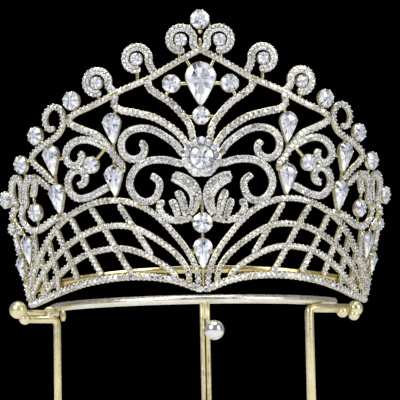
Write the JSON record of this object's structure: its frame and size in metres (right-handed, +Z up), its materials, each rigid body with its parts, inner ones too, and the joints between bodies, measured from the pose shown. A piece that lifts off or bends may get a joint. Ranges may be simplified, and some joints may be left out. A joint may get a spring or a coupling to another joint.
{
  "type": "tiara on a display stand",
  "caption": "Flared openwork tiara with scrolls, a lattice foot and set stones, resting on a three-legged ball-armed wire display stand.",
  "frame": {"origin": "on the surface that the feet stand on, under the middle of the whole object", "axes": "+Z up, the tiara's front faces -Y, +X to its right as seen from the front"},
  "size_m": [0.1826, 0.0828, 0.2242],
  "materials": {
    "gold_plate": "polished pale gold plating",
    "crystal": "cut and foil-backed",
    "stand_metal": "satin pale gold plating"
  },
  "bodies": {
    "root": {"tiara_frame": "gold_plate", "big_pear": "crystal", "edge_bead_left": "crystal", "edge_bead_right": "crystal", "edge_pear_left": "crystal", "edge_pear_right": "crystal", "edge_round_left": "crystal", "edge_round_right": "crystal", "flank_round_left": "crystal", "flank_round_right": "crystal", "flower_stone": "crystal", "inner_curl_stone_left": "crystal", "inner_curl_stone_right": "crystal", "inner_high_pear_left": "crystal", "inner_high_pear_right": "crystal", "inner_low_pear_left": "crystal", "inner_low_pear_right": "crystal", "lower_pear": "crystal", "lower_round": "crystal", "middle_curl_stone_left": "crystal", "middle_curl_stone_right": "crystal", "outer_curl_stone_left": "crystal", "outer_curl_stone_right": "crystal", "outer_high_pear_left": "crystal", "outer_high_pear_right": "crystal", "outer_low_pear_left": "crystal", "outer_low_pear_right": "crystal", "rail_round_left": "crystal", "rail_round_right": "crystal", "scroll_round_left": "crystal", "scroll_round_right": "crystal", "shoulder_round_left": "crystal", "shoulder_round_right": "crystal", "side_high_round_left": "crystal", "side_high_round_right": "crystal", "side_low_round_left": "crystal", "side_low_round_right": "crystal", "side_pear_left": "crystal", "side_pear_right": "crystal", "top_round": "crystal", "under_pear_round": "crystal", "stand": "stand_metal"}
  },
  "joints": []
}
